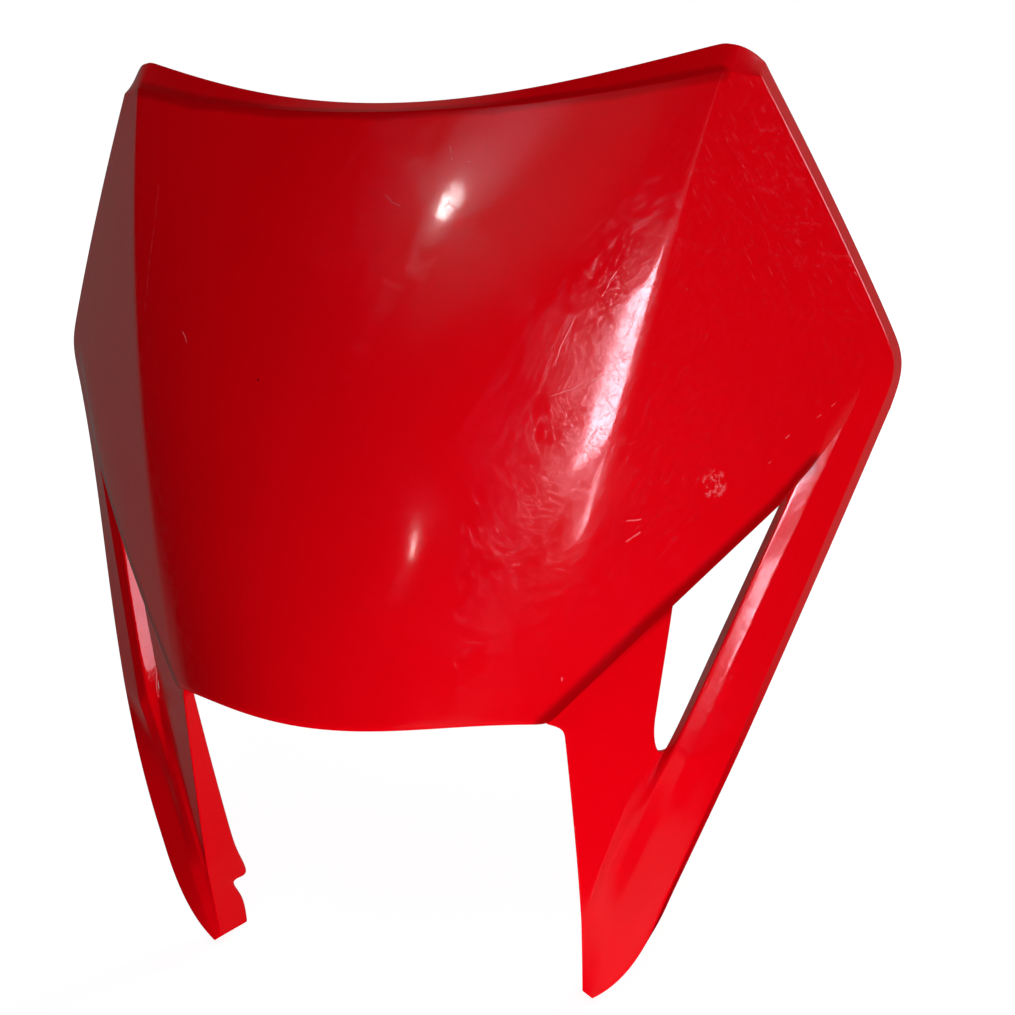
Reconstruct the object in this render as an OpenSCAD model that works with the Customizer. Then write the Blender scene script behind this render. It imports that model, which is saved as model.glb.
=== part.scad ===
// Headlight cowl for an off-road motorbike: one thin moulding, seen upright as it sits on the bike.
// X runs across, Y runs back from the rider's road side to the fork side, Z runs up.
// The origin is the middle of the moulding's overall box.
// The right half is computed and the left half mirrors it.

/* [Overall] */
// Width across the two side corners, before they are rounded
width = 273; // [250:1:295]
// Depth from the front of the arch to the back edge of the side corners
depth = 129.5; // [120:0.5:139]
// Height from the leg tips to the top corners
height = 263.5; // [248:0.5:280]
// Wall thickness of the moulding
wall = 2.5; // [2:0.1:3]

/* [Crowned panel] */
// Width between the two creases at the top edge
panel_top_w = 175; // [165:1:182]
// Width between the two creases at the bottom corners
panel_low_w = 108; // [100:1:116]
// Height from the bottom corners up to the tops of the creases
panel_h = 158.5; // [150:0.5:166]
// Drop of the crease tops below the overall top
crease_drop = 7; // [6.5:0.1:8.5]
// Setback of the crease tops behind the front of the arch
crease_back = 102.2; // [97:0.1:105]
// Crown of the panel across its top edge
crown_top = 25; // [18:0.5:30]
// Crown of the panel across its bottom edge
crown_low = 24.2; // [19:0.1:27]
// Forward bow of the panel in side view
panel_bow = 10; // [5:0.5:14]
// Dip of the top edge in its middle
top_dip = 6.5; // [3:0.5:10]
// Rise of the arch in its middle over the bottom corners
arch_rise = 6; // [3:0.5:9]
// Half width of the soft blend over a crease, at the top
crease_soft_top = 1.8; // [1:0.1:3]
// Half width of the soft blend over a crease, at the bottom
crease_soft_low = 4.5; // [2:0.1:5]

/* [Side facets] */
// Width between the two top corners
corner_w = 194; // [190:1:199]
// Drop of the top corners below the overall top
corner_drop = 9; // [8.5:0.1:11]
// Setback of the top corners behind the front of the arch
corner_back = 110.2; // [107:0.1:113]
// Drop of the side corners below the overall top
side_drop = 90.5; // [84:0.5:97]
// Outward bow of the facet's side edge
side_bow = 0.8; // [0.2:0.1:2]
// Length of the side edge that the rounding of a side corner takes up
side_round = 7.4; // [4:0.1:9]
// Forward bow of the facet's lower edge
facet_bow = 4.3; // [2:0.1:6]
// Rise of the facet's lower edge where it runs out into the strut
facet_rise = 5; // [2:0.1:7]

/* [Turned-back rim] */
// Depth of the rim that turns back behind the outer edge
band_back = 8.4; // [6:0.1:9]
// Outward spread of that rim along the facets' side edges
band_out = 1.2; // [0.4:0.1:1.5]
// Outward spread of that rim along the struts
band_strut = 3.1; // [2:0.1:4]
// Upward spread of that rim in the middle of the top edge
band_mid = 1.9; // [1:0.1:3]
// Upward spread of that rim at the tops of the creases
band_top = 7.3; // [5:0.1:7.4]
// Upward spread of that rim at the top corners
band_corner = 2.9; // [2:0.1:4]
// Half width of the rounding on the fold of the rim
fold_soft = 0.8; // [0.4:0.1:1]

/* [Slots] */
// Distance along the facet's lower edge from the panel to the slot
slot_start = 49; // [44:0.5:54]
// Distance along the facet's lower edge from the panel to the slot's top end
slot_end = 92; // [88:0.5:96]
// Distance along the facet's lower edge from the panel to the top of the strut's ridge
ridge_start = 123; // [119:0.5:126]
// Height of the slot's lower end above the leg tips
slot_low = 80.5; // [77:0.5:84]
// Width of the slot near its lower end
slot_low_w = 5; // [4:0.1:6]
// Bow of the slot's outer flange behind the strut
flange_bow = 4; // [2:0.1:5]
// Depth that this flange gains toward the slot's lower end
flange_gain = 6.6; // [3:0.1:7]
// Inward lean of the web's slot edge from its top to its lower end
web_lean_in = 5.5; // [4:0.1:7]
// Forward lean of the web's slot edge from its top to its lower end
web_lean_out = 5.4; // [4:0.1:7]

/* [Legs] */
// Width between the inner edges of the legs at their tips
tip_w = 118; // [114:0.5:122]
// Width between the inner edges of the legs under the panel
crotch_w = 113; // [111:0.5:116]
// Drop of the legs' inner edges under the panel's bottom corners
crotch_drop = 4; // [2.5:0.1:5]
// Rounding between the arch and the legs' inner edges
crotch_round = 3; // [1:0.1:4]
// Setback of the leg tips behind the front of the arch
tip_back = 37.2; // [33:0.1:41]
// Height of the leg tips' front corners above their back corners
tip_lift = 2.5; // [1.5:0.1:4]
// Width across the struts where the feet begin
foot_w = 157.5; // [151:0.5:163]
// Height of the feet above the leg tips
foot_h = 31; // [28:0.5:33]
// Setback of the feet's outer edges behind the front of the arch
foot_back = 45.9; // [42:0.1:49]
// Width of a strut's outer face, measured across
face_w = 12; // [10:0.5:14]
// Inward lean of a foot's inner edge from its start to the leg tip
foot_lean = 1.2; // [0.4:0.1:2]
// Depth that the leg's web steps back under the panel's corner
step_corner = 7.5; // [6:0.1:9]
// Depth that the web steps back where the slot starts
step_web = 3.4; // [2.8:0.1:5]
// Depth that the strut steps back at the slot's top end
step_slot = 12.5; // [9:0.1:14]

/* [Leg flanges and hooks] */
// Depth of the flange behind a leg's inner edge, at the top
flange_top = 4.5; // [4.4:0.1:6]
// Depth that the flange loses at its upper end, where it meets the panel's corner
flange_taper = 0.5; // [0.2:0.1:0.8]
// Depth of the flange at the start of the foot
flange_low = 15.5; // [13:0.1:17]
// Depth of the hook's tip behind the inner edge
hook_d = 20; // [19:0.1:22]
// Depth left at the bottom of the notch under the hook
notch_d = 11.8; // [10:0.1:13]
// Height of the notch above the leg tips
notch_h = 18.7; // [17.5:0.1:20]
// Depth of the foot's lower end behind the inner edge
foot_d = 15.3; // [14:0.1:16]
// Draft of the flange, as sideways lean for each unit of depth
flange_draft = 0.09; // [0.03:0.01:0.12]

/* [Lamp bosses] */
// Distance between the two screw bosses behind the facets
boss_w = 190; // [180:1:196]
// Height of the bosses above the middle
boss_h = 58; // [50:1:64]
// Outer diameter of a boss
boss_d = 9; // [8:0.1:11]
// Diameter of the screw hole in a boss
screw_d = 4; // [3:0.1:5]
// Depth of the screw hole
screw_depth = 12; // [8:0.5:14]
// Place of a boss's seat, measured back from the front of the arch
boss_seat = 104; // [98:0.5:108]

/* [Hidden] */
plastic = "#c80812";
top_z = height / 2;
front_y = -depth / 2;

// Steps along each stretch of the net of points
n_panel = 9;
n_facet = 16;
n_web = 4;
n_gap = 3;
n_wall = 2;
n_face = 3;
n_slot = 9;
n_valley = 7;
n_crease = 4;
n_ridge = 2;
n_lip = 3;
n_fold = 2;

// Corner points of the right half
crease_top = [panel_top_w / 2, front_y + crease_back, top_z - crease_drop];
crease_low = [panel_low_w / 2, front_y + crown_low, crease_top.z - panel_h];
centre_top = [0, crease_top.y - crown_top, crease_top.z - top_dip];
centre_low = [0, front_y, crease_low.z + arch_rise];
corner_top = [corner_w / 2, front_y + corner_back, top_z - corner_drop];
corner_side = [width / 2, depth / 2 - band_back, top_z - side_drop];
foot_out = [foot_w / 2, front_y + foot_back, foot_h - top_z];
tip = [tip_w / 2, front_y + tip_back, tip_lift - top_z];
crotch = [crotch_w / 2, crease_low.y + step_corner, crease_low.z - crotch_drop];

function lerp(a, b, t) = a + (b - a) * t;
function unit(v) = v / norm(v);
function curve2(a, b, c, t) = (1 - t) ^ 2 * a + 2 * t * (1 - t) * b + t ^ 2 * c;
function curve3(a, b, c, d, t) =
    (1 - t) ^ 3 * a + 3 * (1 - t) ^ 2 * t * b + 3 * (1 - t) * t ^ 2 * c + t ^ 3 * d;
function span(a, b, n) = [for (k = [1:n]) lerp(a, b, k / n)];

// Forward direction square to the crease in side view
crease_run = [0, crease_low.y - crease_top.y, crease_low.z - crease_top.z];
bow_way = unit([0, crease_run.z, -crease_run.y]);
function bowed(a, b, t) = curve2(a, (a + b) / 2 + 2 * panel_bow * bow_way, b, t);
function centre(v) = bowed(centre_top, centre_low, v);
function crease(v) = bowed(crease_top, crease_low, v);

// The strut's outer edge runs in one long curve from the side corner to the foot.
// These two steering points are shares of the way across, back and down.
strut_lead = [0.33, 0.26, 0.35];
strut_trail = [0.62, 0.81, 0.62];
function along(a, b, f) = [lerp(a.x, b.x, f.x), lerp(a.y, b.y, f.y), lerp(a.z, b.z, f.z)];
function strut(t) = curve3(
    corner_side,
    along(corner_side, foot_out, strut_lead),
    along(corner_side, foot_out, strut_trail),
    foot_out,
    t);
// Shares of that curve where the side corner's rounding, the facet and the slot end
round_end = 0.045;
facet_end = 0.09;
slot_share = 0.7;
side_start = corner_side + unit(corner_top - corner_side) * side_round;

// Outer edge of the facet: straight side, rounded side corner, first stretch of the strut.
// The two shares say how far down the net the side and the rounding reach.
side_share = 0.75;
round_share = 0.9375;
function side_edge(v) =
    v <= side_share ? let (t = v / side_share)
        lerp(corner_top, side_start, t) + [4 * t * (1 - t) * side_bow, 0, 0]
    : v <= round_share ? curve2(side_start, corner_side, strut(round_end),
        (v - side_share) / (round_share - side_share))
    : strut(lerp(round_end, facet_end, (v - round_share) / (1 - round_share)));

// Lower edge of the facet, from the panel's corner to the strut
facet_out = strut(facet_end);
facet_len = norm(facet_out - crease_low);
u_web = slot_start / facet_len;
u_gap = slot_end / facet_len;
u_ridge = ridge_start / facet_len;
bow_rise = 0.35;
rise_way = unit(corner_top - corner_side);
rise_power = 1.5;
function facet_edge(u) =
    lerp(crease_low, facet_out, u)
        + 4 * u * (1 - u) * facet_bow * [0, -1, bow_rise]
        + facet_rise * rise_way * (u <= u_gap ? 0
            : u <= u_ridge ? ((u - u_gap) / (u_ridge - u_gap)) ^ rise_power
            : (1 - u) / (1 - u_ridge));
facet_u = concat(span(0, u_web, n_web), span(u_web, u_gap, n_gap),
    span(u_gap, u_ridge, n_wall), span(u_ridge, 1, n_face));

// Step back from the facet's edge to the web, the slot and the strut
step_side = crotch.x - crotch_round - crease_low.x;
web_slope = 0.87;
u_bend = (u_gap + u_ridge) / 2;
bend_in = 2.5;
bend_back = 2;
web_drop = 0.3;
slot_drop = 0.6;
function step_back(u) = u >= u_ridge - 0.0001 ? [0, 0, 0] : [
    lookup(u, [[0, step_side], [u_web, 0], [u_gap, 0], [u_bend, -bend_in], [u_ridge, 0]]),
    lookup(u, [[0, step_corner - web_slope * crotch_round], [u_web, step_web], [u_gap, step_slot],
        [u_bend, bend_back], [u_ridge, 0]]),
    -lookup(u, [[0, crotch_drop], [u_web, web_drop], [u_gap, slot_drop], [u_bend, 0], [u_ridge, 0]])];
function under_edge(u) = facet_edge(u) + step_back(u);

function panel_point(v, s) =
    let (a = centre(v), k = crease(v))
    [k.x * s, lerp(a.y, k.y, s ^ 2), lerp(a.z, k.z, s ^ lerp(2, 4, v))];
function facet_point(v, u) = v == 1 ? facet_edge(u)
    : lerp(crease(v), side_edge(v), u)
        + v ^ 3 * (facet_edge(u) - lerp(crease_low, facet_out, u));
function upper_row(v) = concat(
    [for (j = [0:n_panel]) panel_point(v, j / n_panel)],
    [for (u = facet_u) facet_point(v, u)]);

// Leg: anchor points down the inner edge, the slot's two edges, the ridge and the strut
slot_z = slot_low - top_z;
inner_z = crotch.z - tip.z;
inner_bow = 0.6;
web_end_z = foot_h - top_z;
function inner_edge(z) =
    let (t = (crotch.z - z) / inner_z,
        corner = crotch_round * max(0, 1 - (crotch.z - z) / (2 * crotch_round)) ^ 3,
        lean = foot_lean * max(0, (web_end_z - z) / foot_h))
    [lerp(crotch.x, tip.x, t) + 4 * t * (1 - t) * inner_bow - corner - lean,
        lerp(crotch.y, tip.y, t) - web_slope * corner,
        z];
slot_left_top = under_edge(u_web);
slot_right_top = under_edge(u_gap);
ridge_top = facet_edge(u_ridge);
slot_left_low = [slot_left_top.x - web_lean_in, slot_left_top.y - web_lean_out, slot_z];
low_turn = 0.35;
low_sag = 0.7;
low_rise = 1;
slot_right_low = slot_left_low + [slot_low_w, slot_low_w * low_turn, low_rise];
strut_low = strut(slot_share);
face_turn = 0.92;
face_drop = 1;
ridge_low = strut_low + [-face_w, -face_w * face_turn, -face_drop];
bend_top = under_edge(u_bend);
bend_share = 0.25;
bend_low = lerp(slot_right_low, ridge_low, bend_share);
function row_points(p, sag = 0) = concat([p[0]], span(p[0], p[1], n_web),
    [for (k = [1:n_gap]) let (s = k / n_gap) lerp(p[1], p[2], s) - [0, 0, 4 * sag * s * (1 - s)]],
    [p[3], p[4]], span(p[4], p[5], n_face));
flange_way = [-0.15, 0.89, -0.43];
gain_from = 0.35;
gain_full = 0.7;
gain_end = 0.5;
function gain_at(t) = t < gain_from ? 0
    : t < gain_full ? ((t - gain_from) / (gain_full - gain_from)) ^ 2
    : 1 - (1 - gain_end) * ((t - gain_full) / (1 - gain_full)) ^ 3;
slot_right_back = slot_right_low + flange_gain * gain_end * flange_way;
slot_low_z = slot_z + low_rise;
function slot_anchors(t) = [
    inner_edge(lerp(crotch.z, slot_low_z, t)),
    lerp(slot_left_top, slot_left_low, t),
    lerp(slot_right_top, slot_right_low, t) + 4 * t * (1 - t) * [0, flange_bow, 0]
        + flange_gain * gain_at(t) * flange_way,
    lerp(bend_top, bend_low, t),
    lerp(ridge_top, ridge_low, t),
    strut(lerp(facet_end, slot_share, t))];

// Below the slot the web runs out against the inner edge in a valley beside the ridge
web_end = inner_edge(web_end_z);
ridge_end_share = 0.36;
ridge_end_lift = [0, -2.5, -1];
ridge_end = lerp(web_end, foot_out, ridge_end_share) + ridge_end_lift;
valley_near = web_end + [0.9, 0.3, 0.5];
valley_far = web_end + [2.2, 0.6, 0.5];
valley_bow = [-1, -1.5, 0];
ridge_bow = [0, -1, 0];
function valley_anchors(t) = [
    inner_edge(lerp(slot_low_z, web_end_z, t)),
    lerp(slot_left_low, valley_near, t) + 4 * t * (1 - t) * valley_bow,
    lerp(slot_right_back, valley_far, t) + 4 * t * (1 - t) * valley_bow,
    lerp(bend_low, (valley_far + ridge_end) / 2, t) + 4 * t * (1 - t) * lerp(valley_bow, ridge_bow, 0.3),
    lerp(ridge_low, ridge_end, t) + 4 * t * (1 - t) * ridge_bow,
    strut(lerp(slot_share, 1, t))];

// Foot: heights of the stations down its inner edge, as shares of its height
foot_share = [0.07, 0.115, 0.16, 0.205, 0.245, 0.3, 0.42, 0.56, 0.74, 0.91];
n_foot = len(foot_share);
foot_turn = foot_out + [-2.6, -2.6, -17.6];
toe_out = tip + [2.6, 0, 0.2];
function foot_anchors(k) =
    let (t = foot_share[k], a = inner_edge(lerp(web_end_z, tip.z, t)),
        b = curve2(foot_out, foot_turn, toe_out, (k + 1) / n_foot))
    let (low = lerp(a, b, lerp(0.12, 0.58, t ^ 2)),
        high = lerp(a, b, lerp(ridge_end_share, 0.75, t)) + [0, ridge_end_lift.y * (1 - t) ^ 2, 0])
    [a, lerp(a, b, lerp(0.05, 0.33, t ^ 2)), low, (low + high) / 2, high, b];

leg_rows = concat(
    [[for (u = concat([0], facet_u)) under_edge(u)]],
    [for (r = [1:n_slot]) row_points(slot_anchors(r / n_slot), r == n_slot ? slot_low_w * low_sag : 0)],
    [for (r = [1:n_valley]) row_points(valley_anchors(r / n_valley))],
    [for (k = [0:n_foot - 1]) row_points(foot_anchors(k))]);

// Columns and rows of the sharp net
col_inner = n_panel;
col_web = col_inner + n_web;
col_gap = col_web + n_gap;
col_ridge = col_gap + n_wall;
col_out = col_ridge + n_face;
row_edge = n_facet;
row_base = n_facet + 1;
row_slot = row_base + n_slot;
function padded(row, n) = concat([for (j = [1:n]) row[0]], row);
net = concat([for (i = [0:n_facet]) upper_row(i / n_facet)], [for (r = leg_rows) padded(r, n_panel)]);
row_last = len(net) - 1;

// The outer loop of the net, clockwise from the middle of the top edge to the top of the inner edge
loop = concat(
    [for (j = [0:col_out]) [0, j]],
    [for (i = [1:row_last]) [i, col_out]],
    [for (j = [col_out - 1:-1:col_inner]) [row_last, j]],
    [for (i = [row_last - 1:-1:row_base]) [i, col_inner]]);
loop_n = len(loop);
k_corner = col_out;
k_tip = k_corner + row_last;
k_toe = k_tip + col_out - col_inner;
k_edge = k_corner + row_edge;
function at(k) = net[loop[k][0]][loop[k][1]];
function run_at(k) = k == 0 ? [1, 0, 0]
    : at(min(k == k_edge ? k + 2 : k + 1, loop_n - 1)) - at(k == k_edge + 1 ? k - 2 : k - 1);

// Back edge of the rim and of the leg's flange, for each point of the loop
function flange_back(p, d, z) = [p.x - flange_draft * d, p.y + d, z];
// Depth of the flange's back edge and its drop under the foot's start: hook, notch and foot
hook_line = [[flange_low + 1.5, 5], [hook_d - 1, 10], [hook_d, 13.5], [hook_d - 0.6, 14.8],
    [hook_d - 2.5, 14.6], [notch_d, foot_h - notch_h], [notch_d - 0.2, foot_h - notch_h + 2],
    [foot_d - 0.6, 20], [foot_d, 25], [foot_d - 0.4, foot_h - 0.3]];
function flange_edge(k) =
    let (p = at(k), i = loop[k][0], f = i - (row_last - n_foot + 1))
    f >= 0 ? flange_back(p, hook_line[f][0], web_end_z - hook_line[f][1])
    : flange_back(p, lerp(flange_top, flange_low, (crotch.z - p.z) / (crotch.z - web_end_z))
        - flange_taper * max(0, 1 - (crotch.z - p.z) / crotch_round), p.z);
function rim_edge(k) =
    let (run = run_at(k), out = unit([-run.z, run.x]),
        side = lookup(k, [[k_edge - 4, band_out], [k_edge, band_strut]]),
        up = k <= n_panel ? let (s = k / n_panel) lerp(band_mid, band_top, 1.6 * s ^ 2 - 0.6 * s ^ 4)
            : k < k_corner ? lerp(band_top, band_corner, facet_u[k - n_panel - 1] ^ 2)
            : band_corner,
        spread = side + max(0, up - side) * max(0, out.y) ^ 2)
    at(k) + [out.x * spread, band_back, out.y * spread];
function loop_back(k) = k <= k_tip ? rim_edge(k)
    : k < k_toe ? lerp(rim_edge(k_tip), flange_edge(k_toe), (k - k_tip) / (k_toe - k_tip))
    : flange_edge(k);
backs = [for (k = [0:loop_n - 1]) loop_back(k)];

// Outward way of a corner of the sharp net, long enough to keep the wall's thickness on both
// sides. At the sharpest folds its length is held back.
sharpest = 0.3;
function solid_cell(i, j) = i >= 0 && j >= 0 && i < row_last && j < col_out
    && !(i >= row_edge && j < col_inner)
    && !(i >= row_base && i < row_slot && j >= col_web && j < col_gap);
function cell_way(i, j) = cross(net[i + 1][j + 1] - net[i][j], net[i][j + 1] - net[i + 1][j]);
function band_way(k) = cross(run_at(k), backs[k] - at(k));
function sum(vs) = [for (v = vs) 1] * vs;
function mean_way(ws) = let (s = [for (w = ws) if (norm(w) > 0.0001) unit(w)])
    len(s) == 0 ? [0, 0, 0] : sum(s) / len(s);
function loop_place(i, j) = i == 0 ? j
    : j == col_out ? k_corner + i
    : i == row_last ? k_tip + col_out - j
    : j == col_inner && i >= row_base ? k_toe + row_last - i
    : -1;
function cells_at(i, j) =
    let (fade = j >= col_ridge && (i == row_edge || i == row_base),
        up = fade ? row_edge - 1 : i - 1,
        down = fade ? row_base : i)
    [for (c = [[up, j - 1], [up, j], [down, j - 1], [down, j]])
        if (solid_cell(c[0], c[1])) cell_way(c[0], c[1])];
function mitre(i, j) =
    let (k = loop_place(i, j),
        face = mean_way(cells_at(i, j)),
        mean = k < 0 ? face : (unit(face) + unit(band_way(k))) / 2,
        flat = j == 0 ? [0, mean.y, mean.z] : mean)
    flat / max(flat * flat, sharpest);
inner_backs = [for (k = [0:loop_n - 1]) k < k_tip || k > k_toe ? backs[k] - wall * unit(band_way(k))
    : backs[k] + [lerp(-wall / 2, wall, (k - k_tip) / (k_toe - k_tip)), 0, wall]];

// Inside a leg the points keep their order where the web narrows, and the toe is solid
least_gap = 0.4;
toe_recess = 0.3;
toe_rows = 2;
narrow_from = row_slot + 3;
function ordered(row, end) =
    let (a = row[col_inner],
        way = unit(row[end] - a),
        far = [for (j = [col_inner:end - 1]) (row[j] - a) * way],
        kept = [for (j = [0:len(far) - 1]) max([for (q = [0:j]) far[q] + least_gap * (j - q)])])
    [for (j = [0:col_out]) let (q = j - col_inner)
        j <= col_inner || j >= end || kept[q] < far[q] + 0.001 ? row[max(j, col_inner)]
        : a + way * kept[q]];
function toe_row(i) = [for (j = [0:col_out])
    let (c = max(j, col_inner),
        back = i == row_last ? inner_backs[k_tip + col_out - c]
            : lerp(inner_backs[k_toe + row_last - i], inner_backs[k_corner + i],
                (c - col_inner) / (col_out - col_inner)))
    back - [0, toe_recess, 0]];
slot_corner = [0.5, 1, 2.5];
function inside(i, j) = i == row_base && j == col_gap ? net[i][j] + slot_corner
    : net[i][j] - wall * mitre(i, j);
inner_net = [for (i = [0:row_last])
    let (row = [for (j = [0:col_out]) inside(i, i > row_edge ? max(j, col_inner) : j)])
    i > row_last - toe_rows ? toe_row(i)
        : i > row_base ? ordered(row, i < narrow_from ? col_web : col_ridge)
        : row];

// Round one corner of a run of points, over a length w on each side, with n steps
function soften(a, p, b, w, n) =
    let (la = norm(a - p), lb = norm(b - p))
    w == 0 || min(la, lb) < 0.0001 ? [for (k = [0:n]) p]
    : [for (k = [0:n]) curve2(lerp(p, a, min(w / la, 0.45)), p, lerp(p, b, min(w / lb, 0.45)), k / n)];
function soft_row(row, w_crease, w_ridge) = concat(
    [for (j = [0:col_inner - 1]) row[j]],
    soften(row[col_inner - 1], row[col_inner], row[col_inner + 1], w_crease, n_crease),
    [for (j = [col_inner + 1:col_ridge - 1]) row[j]],
    soften(row[col_ridge - 1], row[col_ridge], row[col_ridge + 1], w_ridge, n_ridge),
    [for (j = [col_ridge + 1:col_out]) row[j]]);
function soft_net(g, crease_share, w_ridge) = [for (i = [0:row_last])
    soft_row(g[i], i > row_edge ? 0 : lerp(crease_soft_top, crease_soft_low, i / row_edge) * crease_share,
        w_ridge)];

// Columns and rows after the corners are rounded
to_crease = col_inner;
to_inner = col_inner + n_crease;
to_web = col_web + n_crease;
to_gap = col_gap + n_crease;
to_out = col_out + n_crease + n_ridge;
to_edge = row_edge + n_lip;
to_base = to_edge + 1 + n_lip;
to_slot = row_slot + 2 * n_lip;
to_last = row_last + 2 * n_lip;
width_n = to_out + 1;
function sharp_row(i) = i < row_edge ? i : i <= to_edge ? row_edge : i <= to_base ? row_base : i - 2 * n_lip;

// Round the facet's lower edge and the foot of the step behind it
function turned(g, n) = [for (m = [0:n]) [for (c = g) c[m]]];
function soft_rows(g, w_lip, w_base) =
    let (edge = [for (j = [0:to_out]) let (c = max(j, to_inner))
            soften(g[row_edge - 1][j], g[row_edge][j], g[row_base][c], j < to_crease ? 0 : w_lip, n_lip)],
        base = [for (j = [0:to_out]) let (c = max(j, to_inner))
            soften(g[row_edge][c], g[row_base][c], g[row_base + 1][c],
                c > to_web && c < to_gap ? 0 : w_base, n_lip)])
    concat([for (i = [0:row_edge - 1]) g[i]], turned(edge, n_lip), turned(base, n_lip),
        [for (i = [row_base + 1:row_last]) g[i]]);

// The loop after rounding, as places in the net
ring = concat(
    [for (j = [0:to_out]) [0, j]],
    [for (i = [1:to_last]) [i, to_out]],
    [for (j = [to_out - 1:-1:to_inner]) [to_last, j]],
    [for (i = [to_last - 1:-1:to_base]) [i, to_inner]]);
ring_n = len(ring);
function ring_place(i, j) = i == 0 ? j
    : j == to_out ? to_out + i
    : i == to_last ? to_out + to_last + to_out - max(j, to_inner)
    : j <= to_inner && i >= to_base ? ring_n - 1 - (i - to_base)
    : -1;
function ring_backs(b, w_ridge) =
    let (top = soft_row([for (j = [0:col_out]) b[j]], crease_soft_top, w_ridge),
        low = soft_row([for (j = [0:col_out]) b[k_tip + col_out - max(j, col_inner)]], 0, w_ridge))
    [for (r = ring) r[0] == 0 ? top[r[1]]
        : r[1] == to_out ? b[k_corner + r[0] - (r[0] - sharp_row(r[0]))]
        : r[0] == to_last ? low[r[1]]
        : b[loop_place(sharp_row(r[0]), col_inner)]];
function inward(i, j) = [
    min(max(i, 1), to_last - 1),
    j == to_out ? to_out - 1 : j == to_inner && i >= to_base ? j + 1 : j];

// Rounding of the ridge, the facet's lip, the step behind it and the rim's fold, outside and inside
soft_outside = [2.5, 2, 1.2, fold_soft];
soft_inside = [1.5, 0.4, 2, 0.15];
crease_inside = 0.8;

// One skin: the points of the net row by row, then the points of the turned-back rim
function skin(g, b, crease_share, w) =
    let (n = soft_rows(soft_net(g, crease_share, w[0]), w[1], w[2]),
        backs = ring_backs(b, w[0]),
        rim = [for (k = [0:ring_n - 1]) let (r = ring[k], a = inward(r[0], r[1]))
            soften(n[a[0]][a[1]], n[r[0]][r[1]], backs[k], w[3], n_fold)])
    concat(
        [for (i = [0:to_last]) for (j = [0:to_out]) let (k = ring_place(i, j)) k < 0 ? n[i][j] : rim[k][0]],
        [for (k = [0:ring_n - 1]) for (m = [1:n_fold + 1]) m > n_fold ? backs[k] : rim[k][m]]);
outer_skin = skin(net, backs, 1, soft_outside);
inner_skin = skin(inner_net, inner_backs, crease_inside, soft_inside);
skin_points = concat(outer_skin, inner_skin);
size_n = len(outer_skin);

// Faces of a skin
function place(i, j) = i * width_n + j;
function rim_point(k, m) = m == 0 ? place(ring[k][0], ring[k][1])
    : (to_last + 1) * width_n + k * (n_fold + 1) + m - 1;
function net_cell(i, j) = !(i >= to_edge && j < to_crease) && !(i > to_edge && j < to_inner)
    && !(i >= to_base && i < to_slot && j >= to_web && j < to_gap);
skin_quads = concat(
    [for (i = [0:to_last - 1]) for (j = [0:to_out - 1]) if (net_cell(i, j))
        [place(i, j), place(i, j + 1), place(i + 1, j + 1), place(i + 1, j)]],
    [for (k = [0:ring_n - 2]) for (m = [0:n_fold])
        [rim_point(k, m + 1), rim_point(k + 1, m + 1), rim_point(k + 1, m), rim_point(k, m)]]);

// Free edges, each in the way in which the outer skin's faces run along it
free_edges = concat(
    [for (k = [0:ring_n - 2]) [rim_point(k, n_fold + 1), rim_point(k + 1, n_fold + 1)]],
    [for (m = [n_fold:-1:0]) [rim_point(ring_n - 1, m + 1), rim_point(ring_n - 1, m)]],
    [for (i = [to_base - 1:-1:to_edge])
        [place(i + 1, to_inner), place(i, i == to_edge ? to_crease : to_inner)]],
    [for (j = [to_crease - 1:-1:0]) [place(to_edge, j + 1), place(to_edge, j)]],
    [for (j = [to_web:to_gap - 1]) [place(to_base, j + 1), place(to_base, j)]],
    [for (i = [to_base:to_slot - 1]) [place(i, to_web), place(i + 1, to_web)]],
    [for (i = [to_base:to_slot - 1]) [place(i + 1, to_gap), place(i, to_gap)]],
    [for (j = [to_web:to_gap - 1]) [place(to_slot, j), place(to_slot, j + 1)]]);

function halves(q) =
    let (p = [for (c = q) skin_points[c]],
        t = norm(p[0] - p[2]) <= norm(p[1] - p[3]) ? [[0, 1, 2], [0, 2, 3]] : [[0, 1, 3], [1, 2, 3]])
    [for (f = t) if (p[f[0]] != p[f[1]] && p[f[1]] != p[f[2]] && p[f[2]] != p[f[0]]) [for (c = f) q[c]]];
function backwards(f) = [f[2], f[1], f[0]];
right_faces = concat(
    [for (q = skin_quads) each halves(q)],
    [for (q = skin_quads) each [for (f = halves([for (c = q) c + size_n])) backwards(f)]],
    [for (e = free_edges) each halves([e[1], e[0], e[0] + size_n, e[1] + size_n])]);

module shell() {
    polyhedron(
        points = concat(skin_points, [for (p = skin_points) [-p.x, p.y, p.z]]),
        faces = concat(right_faces, [for (f = right_faces) backwards([for (c = f) c + 2 * size_n])]));
}

// Boss behind a facet: its place on the facet, and the facet's own directions there
boss_x = boss_w / 2;
seat_y = front_y + boss_seat;
function facet_u_at(v, x) = (x - crease(v).x) / (side_edge(v).x - crease(v).x);
function facet_at(v, x) = facet_point(v, facet_u_at(v, x));
function facet_v_at(x, z, a = 0, b = 1, n = 24) =
    let (m = (a + b) / 2)
    n == 0 ? m : facet_at(m, x).z > z ? facet_v_at(x, z, m, b, n - 1) : facet_v_at(x, z, a, m, n - 1);
boss_v = facet_v_at(boss_x, boss_h);
boss_foot = facet_at(boss_v, boss_x);
facet_across = unit(facet_at(boss_v, boss_x + 1) - boss_foot);
facet_front = unit(cross(facet_across, facet_at(boss_v - 0.01, boss_x) - boss_foot));
facet_up = cross(facet_front, facet_across);

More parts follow.
